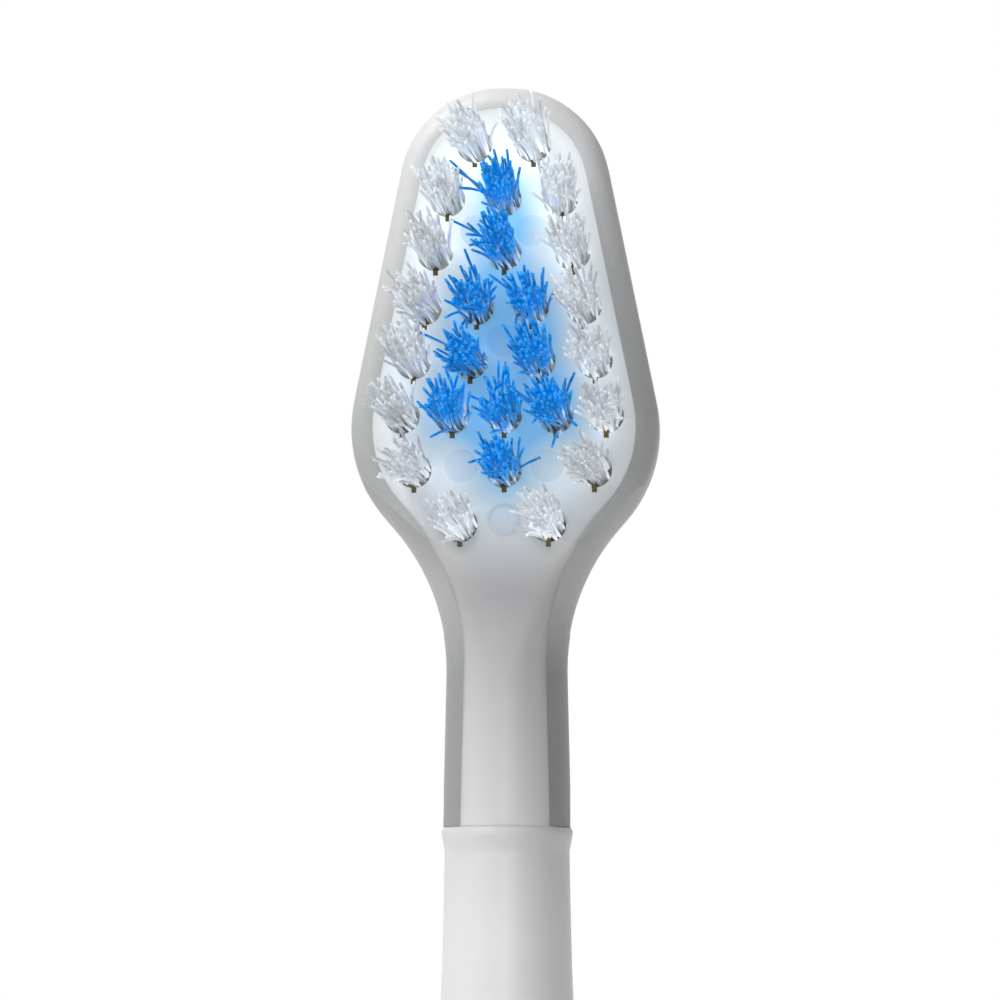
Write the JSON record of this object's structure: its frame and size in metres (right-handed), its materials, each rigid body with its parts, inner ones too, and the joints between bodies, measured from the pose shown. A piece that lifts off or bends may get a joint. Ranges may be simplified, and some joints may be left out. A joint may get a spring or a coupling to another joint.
{
  "type": "electric toothbrush head",
  "caption": "Tapered replacement brush head with a soft grey rim, clear and blue bristle tufts, a slim neck and a round socket base.",
  "frame": {"origin": "centre of the flat rim round the socket's mouth, at the foot of the shaft", "axes": "+Z along the brush from the socket to the tip of the head, -Y the way the bristles point, +X to the right as seen from the bristle side"},
  "size_m": [0.013, 0.0174, 0.0802],
  "materials": {
    "white_body": "milky translucent polypropylene, smooth satin gloss",
    "soft_grey": "soft grey elastomer, satin",
    "socket_plastic": "hard off-white plastic, fine matt",
    "clip_steel": "spring steel, plain rolled",
    "anchor_brass": "dull brass strip",
    "bristle_clear": "clear nylon filament, frosted by its ends",
    "bristle_blue": "dyed blue nylon filament"
  },
  "bodies": {
    "root": {"brush_body": "white_body", "soft_rim": "soft_grey", "drive_socket": "socket_plastic", "spring_clip": "clip_steel", "tuft_anchors": "anchor_brass", "tuft_white_01": "bristle_clear", "tuft_white_02": "bristle_clear", "tuft_white_03": "bristle_clear", "tuft_white_04": "bristle_clear", "tuft_white_05": "bristle_clear", "tuft_white_06": "bristle_clear", "tuft_white_07": "bristle_clear", "tuft_white_08": "bristle_clear", "tuft_white_09": "bristle_clear", "tuft_white_10": "bristle_clear", "tuft_white_11": "bristle_clear", "tuft_white_12": "bristle_clear", "tuft_white_13": "bristle_clear", "tuft_white_14": "bristle_clear", "tuft_white_15": "bristle_clear", "tuft_white_16": "bristle_clear", "tuft_blue_01": "bristle_blue", "tuft_blue_02": "bristle_blue", "tuft_blue_03": "bristle_blue", "tuft_blue_04": "bristle_blue", "tuft_blue_05": "bristle_blue", "tuft_blue_06": "bristle_blue", "tuft_blue_07": "bristle_blue", "tuft_blue_08": "bristle_blue", "tuft_blue_09": "bristle_blue", "tuft_blue_10": "bristle_blue"}
  },
  "joints": []
}
